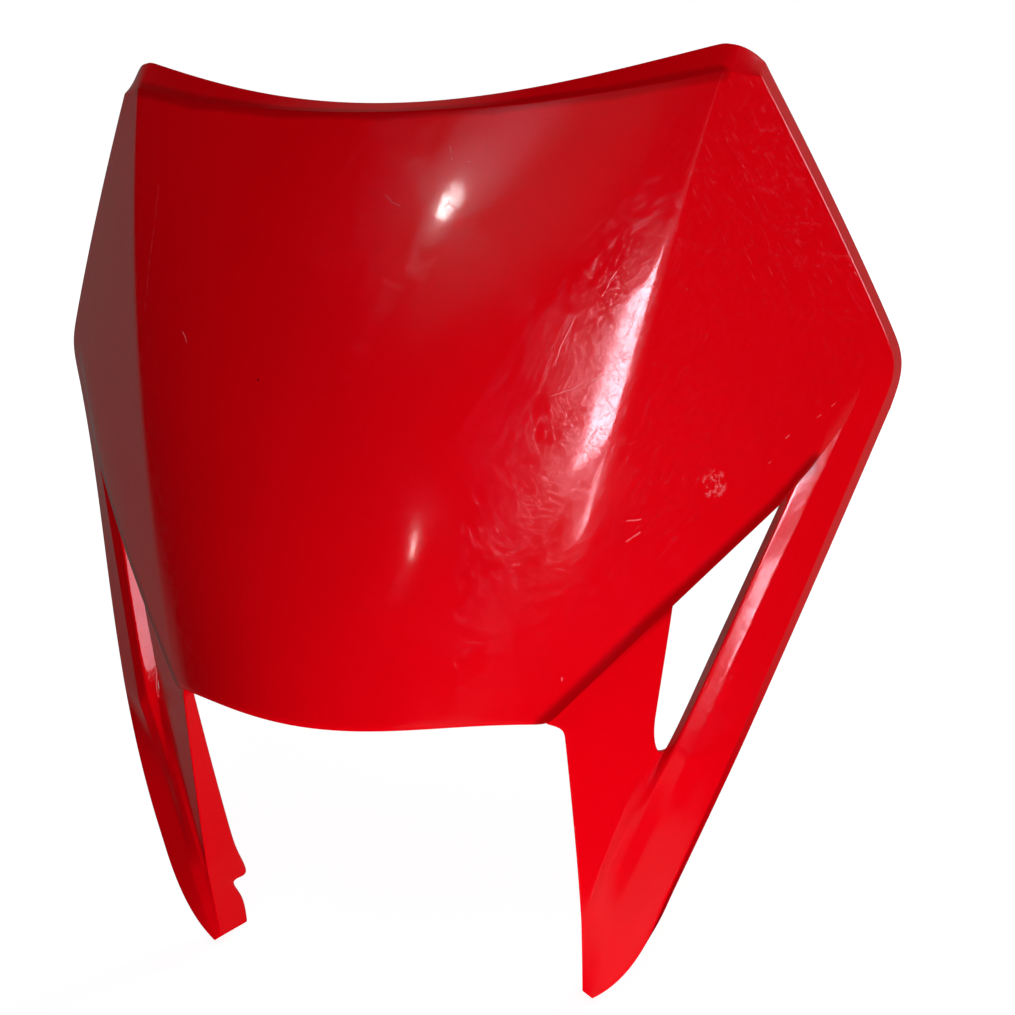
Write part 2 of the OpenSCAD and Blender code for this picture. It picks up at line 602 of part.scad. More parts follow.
// Everything behind the middle of the facet's wall
module behind_facet() {
    reach = 2 * boss_seat;
    m = boss_foot - facet_front * (wall / 2 + reach / 2);
    multmatrix([
        [facet_across.x, facet_up.x, facet_front.x, m.x],
        [facet_across.y, facet_up.y, facet_front.y, m.y],
        [facet_across.z, facet_up.z, facet_front.z, m.z],
        [0, 0, 0, 1]])
        cube(reach, center = true);
}

module boss_at(d, length) {
    translate([boss_x, seat_y, boss_h]) rotate([90, 0, 0]) cylinder(d = d, h = length, $fn = 48);
}

module boss() {
    intersection() {
        boss_at(boss_d, seat_y - boss_foot.y + boss_d);
        behind_facet();
    }
}

module cowl() {
    color(plastic) difference() {
        union() {
            shell();
            boss();
            mirror([1, 0, 0]) boss();
        }
        translate([0, 0.01, 0]) boss_at(screw_d, screw_depth + 0.01);
        mirror([1, 0, 0]) translate([0, 0.01, 0]) boss_at(screw_d, screw_depth + 0.01);
    }
}

cowl();
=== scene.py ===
"""Headlight cowl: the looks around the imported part.

The moulding is built again here as one smooth skin, finer than the solid, in the same frame.
Sizes are in millimetres up to the point where a mesh is made. X runs across, Y back, Z up.
One net of points holds the right half's outer skin: row 0 is the top rim, rows go down, columns go out.
"""
import functools
import math

import bmesh
import bpy
import numpy as np
from mathutils import Matrix, Vector


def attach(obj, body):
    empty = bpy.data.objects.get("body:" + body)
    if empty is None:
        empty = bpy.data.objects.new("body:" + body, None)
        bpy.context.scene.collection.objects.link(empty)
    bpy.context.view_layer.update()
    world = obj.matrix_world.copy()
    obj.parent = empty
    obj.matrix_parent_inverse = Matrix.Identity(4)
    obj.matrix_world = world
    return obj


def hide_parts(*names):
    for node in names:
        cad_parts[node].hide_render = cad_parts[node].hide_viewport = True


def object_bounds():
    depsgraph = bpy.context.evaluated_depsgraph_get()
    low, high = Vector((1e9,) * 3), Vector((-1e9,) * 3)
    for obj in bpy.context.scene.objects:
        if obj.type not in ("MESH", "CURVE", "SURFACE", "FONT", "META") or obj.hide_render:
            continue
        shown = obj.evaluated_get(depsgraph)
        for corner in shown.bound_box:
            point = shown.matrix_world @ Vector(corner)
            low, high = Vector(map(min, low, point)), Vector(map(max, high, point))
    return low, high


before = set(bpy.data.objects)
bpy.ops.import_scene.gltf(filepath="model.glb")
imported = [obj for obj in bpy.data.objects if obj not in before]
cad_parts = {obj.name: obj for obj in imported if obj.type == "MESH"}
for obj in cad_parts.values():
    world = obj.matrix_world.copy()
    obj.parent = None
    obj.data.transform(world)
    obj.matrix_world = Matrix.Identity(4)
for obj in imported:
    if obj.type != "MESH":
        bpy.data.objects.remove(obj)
cad_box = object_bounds()

MM = 0.001
WALL = 2.5


def p(*v):
    """A point or a step, in millimetres."""
    return np.array(v, float)


def mix(a, b, t):
    return a + (b - a) * t


def unit(v):
    return v / np.linalg.norm(v)


def arc2(a, b, c, t):
    """Point at t of the curve from a to c that leaves towards b and arrives from it."""
    return (1 - t) ** 2 * a + 2 * t * (1 - t) * b + t ** 2 * c


def arc3(a, b, c, d, t):
    """Point at t of the curve from a to d that leaves towards b and arrives from c."""
    s = 1 - t
    return s ** 3 * a + 3 * s ** 2 * t * b + 3 * s * t ** 2 * c + t ** 3 * d


def hump(t):
    """0 at both ends, 1 in the middle."""
    return 4 * t * (1 - t)


def steps(a, b, n):
    """The ends of n equal steps from a to b."""
    return [mix(a, b, k / n) for k in range(1, n + 1)]


def look_up(u, table):
    """Value at u of a table of places and values, in straight lines between them."""
    xs, ys = zip(*table)
    return float(np.interp(u, xs, ys))


# Corner points of the right half
FRONT_Y = -64.75
CREASE_TOP = p(87.5, 37.45, 124.75)
CREASE_LOW = p(54, -40.55, -33.75)
CENTRE_TOP = p(0, 12.45, 118.25)
CENTRE_LOW = p(0, FRONT_Y, -27.75)
CORNER_TOP = p(97, 45.45, 122.75)
CORNER_SIDE = p(136.5, 56.35, 41.25)
FOOT_OUT = p(79.9, -18.6, -101.1)
TIP = p(59, -27.55, -129.25)
CROTCH = p(56.5, -33.05, -35.95)
CROTCH_ROUND, WEB_SLOPE = 4, 0.87

# Steps along each stretch of the net of points
N_PANEL, N_FACET, N_WEB, N_GAP, N_FACE = 8, 16, 3, 3, 2
N_SLOT, N_VALLEY = 8, 6

PANEL_BOW = 10
BOW_WAY = unit(p(0, (CREASE_LOW - CREASE_TOP)[2], -(CREASE_LOW - CREASE_TOP)[1]))


def bowed(a, b, t):
    """Point at t of the line from a to b, bowed forward and up as the panel is."""
    return arc2(a, (a + b) / 2 + 2 * PANEL_BOW * BOW_WAY, b, t)


def centre(v):
    return bowed(CENTRE_TOP, CENTRE_LOW, v)


def crease(v):
    return bowed(CREASE_TOP, CREASE_LOW, v)


STRUT_LEAD = p(0.33, 0.26, 0.35)
STRUT_TRAIL = p(0.62, 0.81, 0.62)


def strut(t):
    """The strut's outer edge: one long curve from the side corner to the foot."""
    way = FOOT_OUT - CORNER_SIDE
    return arc3(CORNER_SIDE, CORNER_SIDE + way * STRUT_LEAD, CORNER_SIDE + way * STRUT_TRAIL, FOOT_OUT, t)


ROUND_END, FACET_END, SLOT_END = 0.045, 0.09, 0.70
SIDE_ROUND = 7.4
SIDE_START = CORNER_SIDE + unit(CORNER_TOP - CORNER_SIDE) * SIDE_ROUND
SIDE_SHARE, ROUND_SHARE = 0.75, 0.9375
SIDE_BOW = 0.8


def side_edge(v):
    """The facet's outer edge: down the side, round the corner and down the strut's first part."""
    if v <= SIDE_SHARE:
        t = v / SIDE_SHARE
        return mix(CORNER_TOP, SIDE_START, t) + p(hump(t) * SIDE_BOW, 0, 0)
    if v <= ROUND_SHARE:
        t = (v - SIDE_SHARE) / (ROUND_SHARE - SIDE_SHARE)
        return arc2(SIDE_START, CORNER_SIDE, strut(ROUND_END), t)
    return strut(mix(ROUND_END, FACET_END, (v - ROUND_SHARE) / (1 - ROUND_SHARE)))


# Lower edge of the facet, from the panel's corner to the strut
FACET_OUT = strut(FACET_END)
FACET_LEN = np.linalg.norm(FACET_OUT - CREASE_LOW)
WEB_W, SLOT_OUT, RIDGE_OUT = 49, 92, 123
U_WEB, U_GAP, U_RIDGE = WEB_W / FACET_LEN, SLOT_OUT / FACET_LEN, RIDGE_OUT / FACET_LEN
U_BEND = (U_GAP + U_RIDGE) / 2
FACET_BOW, FACET_BOW_WAY = 4.3, p(0, -1, 0.35)
FACET_RISE, RISE_WAY, RISE_CURVE = 5, unit(CORNER_TOP - CORNER_SIDE), 1.5


def facet_edge(u):
    """The facet's lower edge at share u of the way out, raised at the ridge."""
    if u <= U_GAP:
        rise = 0
    elif u <= U_RIDGE:
        rise = ((u - U_GAP) / (U_RIDGE - U_GAP)) ** RISE_CURVE
    else:
        rise = (1 - u) / (1 - U_RIDGE)
    bow = hump(u) * FACET_BOW * FACET_BOW_WAY
    return mix(CREASE_LOW, FACET_OUT, u) + bow + FACET_RISE * rise * RISE_WAY


FACET_U = (steps(0, U_WEB, N_WEB) + steps(U_WEB, U_GAP, N_GAP) + [U_BEND, U_RIDGE]
           + steps(U_RIDGE, 1, N_FACE))

# Step from the facet's edge to the leg's top: at the crotch, the slot's two edges, the bend and the ridge
STEP_AT = [0, U_WEB, U_GAP, U_BEND, U_RIDGE]
STEP_ACROSS = [CROTCH[0] - CROTCH_ROUND - CREASE_LOW[0], 0, 0, -2.5, 0]
STEP_BACK = [7.5 - WEB_SLOPE * CROTCH_ROUND, 3.4, 12.5, 2, 0]
STEP_DOWN = [1.4, 0.3, 0.6, 0, 0]


def under_edge(u):
    """Top of the leg, a step in from the facet's edge."""
    across, back, down = (look_up(u, zip(STEP_AT, step)) for step in (STEP_ACROSS, STEP_BACK, STEP_DOWN))
    return facet_edge(u) + p(across, back, -down)


# How steeply the panel's rows bend down near the crease, in the top row and in the lowest
CROWN_TOP, CROWN_LOW = 2, 4


def panel_point(v, s):
    """Point of the panel at share v of the way down and s of the way from the middle out to the crease."""
    a, k = centre(v), crease(v)
    return p(k[0] * s, mix(a[1], k[1], s ** 2), mix(a[2], k[2], s ** mix(CROWN_TOP, CROWN_LOW, v)))


def facet_point(v, u):
    """Point of the facet at share v of the way down and u of the way from the crease out to the side."""
    if v == 1:
        return facet_edge(u)
    return mix(crease(v), side_edge(v), u) + v ** 3 * (facet_edge(u) - mix(CREASE_LOW, FACET_OUT, u))


def upper_row(v):
    """A row of the net across the panel and the facet."""
    across_panel = [panel_point(v, j / N_PANEL) for j in range(N_PANEL + 1)]
    return across_panel + [facet_point(v, u) for u in FACET_U]


# Leg: anchor points down the inner edge, the slot's two edges, the bend, the ridge and the strut
GROUND_Z = -131.75
SLOT_H, FOOT_H = 80.5, 31
SLOT_Z, WEB_END_Z = GROUND_Z + SLOT_H, GROUND_Z + FOOT_H
SLOT_W = 5
INNER_BOW, FOOT_LEAN = 0.6, 1.2


def inner_edge(z):
    """The leg's inner edge at height z, round at the crotch and leaning inwards at the foot."""
    t = (CROTCH[2] - z) / (CROTCH[2] - TIP[2])
    rest = max(0, 1 - (CROTCH[2] - z) / CROTCH_ROUND)
    corner = CROTCH_ROUND * (1 - math.sqrt(1 - rest ** 2))
    lean = FOOT_LEAN * max(0, (WEB_END_Z - z) / FOOT_H)
    return p(mix(CROTCH[0], TIP[0], t) + hump(t) * INNER_BOW - corner - lean,
             mix(CROTCH[1], TIP[1], t) - WEB_SLOPE * corner, z)


SLOT_LEFT_TOP, SLOT_RIGHT_TOP = under_edge(U_WEB), under_edge(U_GAP)
BEND_TOP, RIDGE_TOP = under_edge(U_BEND), facet_edge(U_RIDGE)
# The slot's lean down its length and slope across, the strut face's width and slope, the bend's place
SLOT_LEAN, SLOT_SLOPE, FACE_W, FACE_SLOPE, BEND_SHARE = p(-5.5, -5.4), 0.35, 12, 0.92, 0.25
SLOT_LEFT_LOW = p(*(SLOT_LEFT_TOP[:2] + SLOT_LEAN), SLOT_Z)
SLOT_RIGHT_LOW = SLOT_LEFT_LOW + p(SLOT_W, SLOT_W * SLOT_SLOPE, 1)
RIDGE_LOW = strut(SLOT_END) + p(-FACE_W, -FACE_W * FACE_SLOPE, -1)
BEND_LOW = mix(SLOT_RIGHT_LOW, RIDGE_LOW, BEND_SHARE)
FLANGE_BOW, FLANGE_GAIN = 4, 6.6
FLANGE_WAY = p(-0.15, 0.89, -0.43)
GAIN_FROM, GAIN_FULL, GAIN_END = 0.35, 0.7, 0.5
SLOT_RIGHT_BACK = SLOT_RIGHT_LOW + FLANGE_GAIN * GAIN_END * FLANGE_WAY


def gain_at(t):
    """Share of the slot flange's extra depth at t, from the slot's top end down to its lower end."""
    if t < GAIN_FROM:
        return 0
    if t < GAIN_FULL:
        return ((t - GAIN_FROM) / (GAIN_FULL - GAIN_FROM)) ** 2
    return 1 - (1 - GAIN_END) * ((t - GAIN_FULL) / (1 - GAIN_FULL)) ** 3


def row_points(anchors, sag=0):
    """A row of the leg's net through its anchor points; sag hangs its middle lower at the slot's end."""
    inner_end, web, free, bend, ridge, out = anchors
    gap = [mix(web, free, share) - p(0, 0, hump(share) * sag) for share in steps(0, 1, N_GAP)]
    return [inner_end] + steps(inner_end, web, N_WEB) + gap + [bend, ridge] + steps(ridge, out, N_FACE)


def slot_anchors(t):
    """The leg's anchor points at t, from the slot's top end down to its lower end."""
    free = mix(SLOT_RIGHT_TOP, SLOT_RIGHT_LOW, t) + hump(t) * p(0, FLANGE_BOW, 0)
    return [inner_edge(mix(CROTCH[2], SLOT_Z + 1, t)), mix(SLOT_LEFT_TOP, SLOT_LEFT_LOW, t),
            free + FLANGE_GAIN * gain_at(t) * FLANGE_WAY, mix(BEND_TOP, BEND_LOW, t),
            mix(RIDGE_TOP, RIDGE_LOW, t), strut(mix(FACET_END, SLOT_END, t))]


WEB_END = inner_edge(WEB_END_Z)
RIDGE_SHARE, RIDGE_LIFT = 0.36, p(0, -0.9, -1)
RIDGE_END = mix(WEB_END, FOOT_OUT, RIDGE_SHARE) + RIDGE_LIFT
VALLEY_BOW, RIDGE_BOW = p(-1, -1.5, 0), p(0, 1, 0)
BEND_BOW = mix(VALLEY_BOW, RIDGE_BOW, 0.3)
VALLEY_NEAR, VALLEY_FAR = WEB_END + p(0.9, 0.3, 0.5), WEB_END + p(2.2, 0.6, 0.5)
VALLEY_DEEP = SLOT_RIGHT_BACK - SLOT_RIGHT_LOW


def valley_anchors(t):
    """The leg's anchor points at t, from the slot's lower end down to the web's end."""
    return [inner_edge(mix(SLOT_Z + 1, WEB_END_Z, t)),
            mix(SLOT_LEFT_LOW, VALLEY_NEAR, t) + hump(t) * VALLEY_BOW,
            mix(SLOT_RIGHT_LOW, VALLEY_FAR, t) + (1 - t) ** 4 * VALLEY_DEEP + hump(t) * VALLEY_BOW,
            mix(BEND_LOW, (VALLEY_FAR + RIDGE_END) / 2, t) + hump(t) * BEND_BOW,
            mix(RIDGE_LOW, RIDGE_END, t) + hump(t) * RIDGE_BOW,
            strut(mix(SLOT_END, 1, t))]


# Height of each row of the foot, as a share of the way from the web's end down to the tip
FOOT_SHARE = [0.07, 0.115, 0.16, 0.205, 0.245, 0.3, 0.42, 0.56, 0.74, 0.91]
N_FOOT = len(FOOT_SHARE)
FOOT_TURN = FOOT_OUT + p(-6.9, -5, -22)
TOE = TIP + p(1.8, 0, 0.2)
# Share of the foot's width where the valley's two edges and the ridge run, at its top and at its tip
FOOT_NEAR, FOOT_FAR, FOOT_RIDGE, FOOT_LIFT = (0.05, 0.33), (0.12, 0.58), (0.36, 0.75), 0.9


def foot_anchors(k):
    """The leg's anchor points in row k of the foot."""
    t = FOOT_SHARE[k]
    a, b = inner_edge(mix(WEB_END_Z, TIP[2], t)), arc2(FOOT_OUT, FOOT_TURN, TOE, (k + 1) / N_FOOT)
    near_edge, far_edge = (mix(a, b, mix(*shares, t ** 2)) for shares in (FOOT_NEAR, FOOT_FAR))
    ridge = mix(a, b, mix(*FOOT_RIDGE, t)) - p(0, FOOT_LIFT * (1 - t) ** 2, 0)
    return [a, near_edge, far_edge, (far_edge + ridge) / 2, ridge, b]


# Columns and rows of the net where a form starts or ends
C_INNER = N_PANEL
C_WEB = C_INNER + N_WEB
C_GAP = C_WEB + N_GAP
C_BEND = C_GAP + 1
C_RIDGE = C_GAP + 2
C_OUT = C_RIDGE + N_FACE
R_EDGE = N_FACET
R_BASE = N_FACET + 1
R_SLOT = R_BASE + N_SLOT
SLOT_SAG, SLOT_ROUND_NEAR, SLOT_ROUND_FAR = 3.5, p(0.9, 0.5, 0.4), p(-1, -0.6, -1.2)


def sharp_net():
    """The net's rows; under the panel's edge the leg's inner end stands for the panel's columns."""
    rows = [upper_row(i / N_FACET) for i in range(N_FACET + 1)]
    leg = [[under_edge(u) for u in [0] + FACET_U]]
    leg += [row_points(slot_anchors(t), SLOT_SAG if t == 1 else 0) for t in steps(0, 1, N_SLOT)]
    leg += [row_points(valley_anchors(t)) for t in steps(0, 1, N_VALLEY)]
    leg += [row_points(foot_anchors(k)) for k in range(N_FOOT)]
    rows = np.array(rows + [[r[0]] * N_PANEL + r for r in leg])
    rows[R_SLOT, C_WEB] += SLOT_ROUND_NEAR
    rows[R_SLOT, C_GAP] += SLOT_ROUND_FAR
    return rows


net = sharp_net()
R_LAST = len(net) - 1

# The net's outer loop: along the top, down the side, back along the foot and up the leg's inner edge
LOOP = ([(0, j) for j in range(C_OUT + 1)] + [(i, C_OUT) for i in range(1, R_LAST + 1)]
        + [(R_LAST, j) for j in range(C_OUT - 1, C_INNER - 1, -1)]
        + [(i, C_INNER) for i in range(R_LAST - 1, R_BASE - 1, -1)])
K_CORNER = C_OUT
K_TIP = K_CORNER + R_LAST
K_TOE = K_TIP + C_OUT - C_INNER
K_EDGE = K_CORNER + R_EDGE
K_FOOT = K_CORNER + R_SLOT + 1

# The turned-back rim: its depth, its spread from the facet down to the foot, and its rise along the top
BAND_BACK, BAND_OUT, BAND_STRUT, BAND_LEG, BAND_FOOT = 8.4, 1.2, 3.1, 2.5, 1
BAND_SIDE = [(K_EDGE - 4, BAND_OUT), (K_EDGE, BAND_STRUT), (K_FOOT, BAND_LEG), (K_TIP - 6, BAND_FOOT)]
BAND_MID, BAND_TOP, BAND_CORNER, BAND_SWELL = 1.9, 7.3, 2.9, 0.6

# The leg's inner flange: depths, and the hook's outline as depth and drop below the web's end, row by row
FLANGE_TOP, FLANGE_LOW, HOOK_D, NOTCH_D, NOTCH_DROP, FOOT_D = 4.5, 15.5, 20, 11.8, 12.3, 15.3
DRAFT, FLANGE_TAPER = 0.09, 0.5
HOOK_LINE = [(FLANGE_LOW + 1.5, 5), (HOOK_D - 1, 10), (HOOK_D, 13.5), (HOOK_D - 0.6, 14.8),
             (HOOK_D - 2.5, 14.6), (NOTCH_D, NOTCH_DROP), (NOTCH_D - 0.2, NOTCH_DROP + 2),
             (FOOT_D - 0.6, 20), (FOOT_D, 25), (FOOT_D - 0.4, FOOT_H - 0.3)]


def at(k):
    """Point k of the net's outer loop."""
    return net[LOOP[k]]


def run_at(k):
    """The way that the outer loop runs at point k."""
    if k == 0:
        return p(1, 0, 0)
    ahead = min(k + 2 if k == K_EDGE else k + 1, len(LOOP) - 1)
    behind = k - 2 if k == K_EDGE + 1 else k - 1
    return at(ahead) - at(behind)


def flange_edge(k):
    """Back edge of the leg's inner flange, with the hook and the notch under it."""
    x, y, z = at(k)
    foot_row = LOOP[k][0] - (R_LAST - N_FOOT + 1)
    if foot_row >= 0:
        depth, drop = HOOK_LINE[foot_row]
        z = WEB_END_Z - drop
    else:
        down = CROTCH[2] - z
        depth = mix(FLANGE_TOP, FLANGE_LOW, down / (CROTCH[2] - WEB_END_Z))
        depth -= FLANGE_TAPER * max(0, 1 - down / CROTCH_ROUND)
    return p(x - DRAFT * depth, y + depth, z)


def rim_edge(k):
    """Back edge of the turned-back rim, spread outwards."""
    run = run_at(k)
    out = unit(p(-run[2], run[0]))
    side = look_up(k, BAND_SIDE)
    if k <= N_PANEL:
        s = k / N_PANEL
        up = mix(BAND_MID, BAND_TOP, (1 + BAND_SWELL) * s ** 2 - BAND_SWELL * s ** 4)
    elif k < K_CORNER:
        up = mix(BAND_TOP, BAND_CORNER, FACET_U[k - N_PANEL - 1] ** 2)
    else:
        up = BAND_CORNER
    spread = side + max(0, up - side) * max(0, out[1]) ** 2
    return at(k) + p(out[0] * spread, BAND_BACK, out[1] * spread)


def loop_back(k):
    """Back edge behind point k of the outer loop."""
    if k <= K_TIP:
        return rim_edge(k)
    if k < K_TOE:
        return mix(rim_edge(K_TIP), flange_edge(K_TOE), (k - K_TIP) / (K_TOE - K_TIP))
    return flange_edge(k)


backs = np.array([loop_back(k) for k in range(len(LOOP))])


# The inner skin: each point moved in by the wall's thickness, square to the faces that meet there
def solid_cell(i, j):
    """Whether the net has a face between rows i and i + 1, columns j and j + 1."""
    return (0 <= i < R_LAST and 0 <= j < C_OUT and not (i >= R_EDGE and j < C_INNER)
            and not (R_BASE <= i < R_SLOT and C_WEB <= j < C_GAP))


def band_way(k):
    """The way square to the turned-back band at point k of the outer loop."""
    return np.cross(run_at(k), backs[k] - at(k))


LOOP_PLACE = {place: k for k, place in enumerate(LOOP)}
NO_AREA, MITRE_LEAST = 1e-4, 0.3


def mitre(i, j):
    """The step that moves every face at a point by 1, square to itself."""
    fade = j >= C_RIDGE and i in (R_EDGE, R_BASE)
    up, down = (R_EDGE - 1, R_BASE) if fade else (i - 1, i)
    ways = [np.cross(net[a + 1, b + 1] - net[a, b], net[a, b + 1] - net[a + 1, b])
            for a, b in ((up, j - 1), (up, j), (down, j - 1), (down, j)) if solid_cell(a, b)]
    ways = [unit(w) for w in ways if np.linalg.norm(w) > NO_AREA]
    if not ways:
        return p(0, 0, 0)
    way = sum(ways) / len(ways)
    k = LOOP_PLACE.get((i, j))
    if k is not None:
        way = (unit(way) + unit(band_way(k))) / 2
    if j == 0:
        way = p(0, way[1], way[2])
    return way / max(way @ way, MITRE_LEAST)


def inner_back(k):
    """The inner skin's back edge behind point k of the outer loop."""
    if K_TIP <= k <= K_TOE:
        return backs[k] + p(mix(-WALL / 2, WALL, (k - K_TIP) / (K_TOE - K_TIP)), 0, WALL)
    return backs[k] - WALL * unit(band_way(k))


inner_backs = np.array([inner_back(k) for k in range(len(LOOP))])

# Inside a leg the points keep their order where the web narrows, and the toe is solid
LEAST_GAP, AMISS, TOE_RECESS, TOE_ROWS, NARROW_FROM = 0.4, 0.001, 0.3, 2, R_SLOT + 3
SLOT_CORNER = p(0.5, 1, 2.5)


def inside(i, j):
    """The inner skin's point behind a point of the net."""
    if i == R_BASE and j == C_GAP:
        return net[i, j] + SLOT_CORNER
    return net[i, j] - WALL * mitre(i, j)


def ordered(row, end):
    """The row with its points from the inner edge to end at least LEAST_GAP apart."""
    way = unit(row[end] - row[C_INNER])
    reach = -np.inf
    for j in range(C_INNER, end):
        far = (row[j] - row[C_INNER]) @ way
        reach = max(reach + LEAST_GAP, far)
        if reach > far + AMISS:
            row[j] = row[C_INNER] + way * reach
    return row


def inner_row(i):
    """A row of the inner skin."""
    row = [inside(i, max(j, C_INNER) if i > R_EDGE else j) for j in range(C_OUT + 1)]
    if i > R_LAST - TOE_ROWS:
        for j in range(C_OUT + 1):
            c = max(j, C_INNER)
            share = (c - C_INNER) / (C_OUT - C_INNER)
            back = (inner_backs[K_TIP + C_OUT - c] if i == R_LAST
                    else mix(inner_backs[K_TOE + R_LAST - i], inner_backs[K_CORNER + i], share))
            row[j] = back - p(0, TOE_RECESS, 0)
    elif i > R_BASE:
        row = ordered(row, C_WEB if i < NARROW_FROM else C_RIDGE)
    return row


inner = np.array([inner_row(i) for i in range(R_LAST + 1)])

# How tight a plain fold is, and how far towards the next point a line beside a fold may go
FOLD, CLOSEST, WIDEST_SHARE, END_SHARE = 0.8, 1e-9, 0.45, 0.3


class Cage:
    """Both skins, each as a grid of points, with the back edges of the rim and of the flange."""

    def __init__(self):
        self.grid = [net, inner]
        self.edges = {}
        for name, ks in (("top", range(C_OUT + 1)), ("side", range(K_CORNER, K_TIP + 1)),
                         ("toe", [K_TIP + C_OUT - max(j, C_INNER) for j in range(C_OUT + 1)]),
                         ("leg", [K_TOE + R_LAST - max(i, R_BASE) for i in range(R_LAST + 1)])):
            self.edges[name] = [backs[list(ks)], inner_backs[list(ks)]]
        self.col = {"inner": C_INNER, "web": C_WEB, "gap": C_GAP, "bend": C_BEND, "ridge": C_RIDGE,
                    "out": C_OUT}
        self.row = {"top": 0, "edge": R_EDGE, "base": R_BASE, "slot": R_SLOT, "last": R_LAST}

    def add(self, across, name, side, width):
        """Add a line beside the named column or row, at a distance of width, to keep the fold tight."""
        marks, axis = (self.col, 1) if across else (self.row, 0)
        ends = (("top", 0), ("toe", -1)) if across else (("side", -1), ("leg", self.col["inner"]))
        n = marks[name]
        place = n + 1 if side > 0 else n
        for s, grid in enumerate(self.grid):
            a, b = np.take(grid, n, axis), np.take(grid, n + side, axis)
            gap = np.linalg.norm(b - a, axis=1)
            share = np.minimum(width / np.maximum(gap, CLOSEST), WIDEST_SHARE)
            self.grid[s] = np.insert(grid, place, mix(a, b, share[:, None]), axis)
            for edge, end in ends:
                line = self.edges[edge][s]
                self.edges[edge][s] = np.insert(line, place, mix(line[n], line[n + side], share[end]), 0)
        for key, value in marks.items():
            if value >= place:
                marks[key] = value + 1

    def solid(self, i, j):
        """Whether there is a face between rows i and i + 1, columns j and j + 1."""
        c, r = self.col, self.row
        under_panel = i >= r["edge"] and j < c["inner"]
        in_slot = r["base"] <= i < r["slot"] and c["web"] <= j < c["gap"]
        return not under_panel and not in_slot


# How soft the crease is in the top row and at the panel's corner, and how tight the leg's inner edge
CREASE_SOFT_TOP, CREASE_SOFT_LOW, INNER_TIGHT = 5, 8, 1.2
crease_width = np.array([mix(CREASE_SOFT_TOP, CREASE_SOFT_LOW, i / R_EDGE) if i <= R_EDGE else INNER_TIGHT
                         for i in range(R_LAST + 1)])

# Lines beside the folds: the fold's name, the side on which the line lies and its distance
BESIDE_COLUMNS = [("inner", 1, crease_width), ("inner", -1, crease_width),
                  ("ridge", 1, 1.4), ("ridge", -1, 1.4), ("bend", 1, 1), ("bend", -1, 1),
                  ("web", -1, FOLD), ("gap", 1, FOLD), ("out", -1, FOLD)]
BESIDE_ROWS = [("top", 1, FOLD), ("edge", -1, 3), ("edge", 1, 1), ("base", -1, FOLD), ("base", 1, 1),
               ("slot", 1, FOLD), ("last", -1, FOLD)]
cage = Cage()
for fold_name, side, width in BESIDE_COLUMNS:
    cage.add(True, fold_name, side, width)
for fold_name, side, width in BESIDE_ROWS:
    cage.add(False, fold_name, side, width)


def skin_points(s):
    """Points of one skin: the grid row by row, then what is turned back along each of its four sides."""
    grid = cage.grid[s]
    points = [q for row in grid for q in row]
    borders = {"top": grid[0], "side": grid[:, -1], "toe": grid[-1], "leg": grid[:, cage.col["inner"]]}
    strips = {}
    for name, folds in borders.items():
        strips[name] = []
        for fold, back in zip(folds, cage.edges[name][s]):
            deep = np.linalg.norm(back - fold)
            end = min(FOLD / deep, END_SHARE)
            line = []
            for share in (end, 0.5, 1 - end, 1):
                line.append(len(points))
                points.append(mix(fold, back, share))
            strips[name].append(line)
    return points, strips


def skin_faces(strips):
    """Faces of one skin, as places in the list of its points."""
    rows, cols = cage.grid[0].shape[:2]
    c, r = cage.col, cage.row

    def place(i, j):
        return i * cols + j

    faces = [(place(i, j), place(i + 1, j), place(i + 1, j + 1), place(i, j + 1))
             for i in range(rows - 1) for j in range(cols - 1) if cage.solid(i, j)]
    runs = (("top", [(place(0, j), j) for j in range(cols)]),
            ("side", [(place(i, cols - 1), i) for i in range(rows)]),
            ("toe", [(place(rows - 1, j), j) for j in range(cols - 1, c["inner"] - 1, -1)]),
            ("leg", [(place(i, c["inner"]), i) for i in range(rows - 1, r["base"] - 1, -1)]))
    for name, run in runs:
        for (fold_a, a), (fold_b, b) in zip(run, run[1:]):
            line_a, line_b = [fold_a] + strips[name][a], [fold_b] + strips[name][b]
            for m in range(len(line_a) - 1):
                faces.append((line_a[m], line_b[m], line_b[m + 1], line_a[m + 1]))
    return faces


ON_MIDDLE = 1e-6


def moulding_cage():
    """Points and faces of both skins, joined along their open edges, and of their mirror images."""
    outer, strips = skin_points(0)
    inner_points, _ = skin_points(1)
    n = len(outer)
    first_there, same = {}, []
    for index, q in enumerate(outer):
        same.append(first_there.setdefault(tuple(np.round(q, 4)), index))
    faces = []
    for face in skin_faces(strips):
        corners = list(dict.fromkeys(same[v] for v in face))
        if len(corners) > 2:
            faces.append(corners)
    sides = {}
    for face in faces:
        for a, b in zip(face, face[1:] + face[:1]):
            sides.setdefault(frozenset((a, b)), []).append((a, b))
    open_sides = [runs[0] for runs in sides.values() if len(runs) == 1]
    ends = [(a, b) for a, b in open_sides if max(abs(outer[a][0]), abs(outer[b][0])) >= ON_MIDDLE]
    half = faces + [[v + n for v in reversed(face)] for face in faces]
    half += [[b, a, a + n, b + n] for a, b in ends]
    points = outer + inner_points
    mirrored = [v if abs(q[0]) < ON_MIDDLE else v + 2 * n for v, q in enumerate(points)]
    whole = half + [[mirrored[v] for v in reversed(face)] for face in half]
    return points + [q * p(-1, 1, 1) for q in points], whole


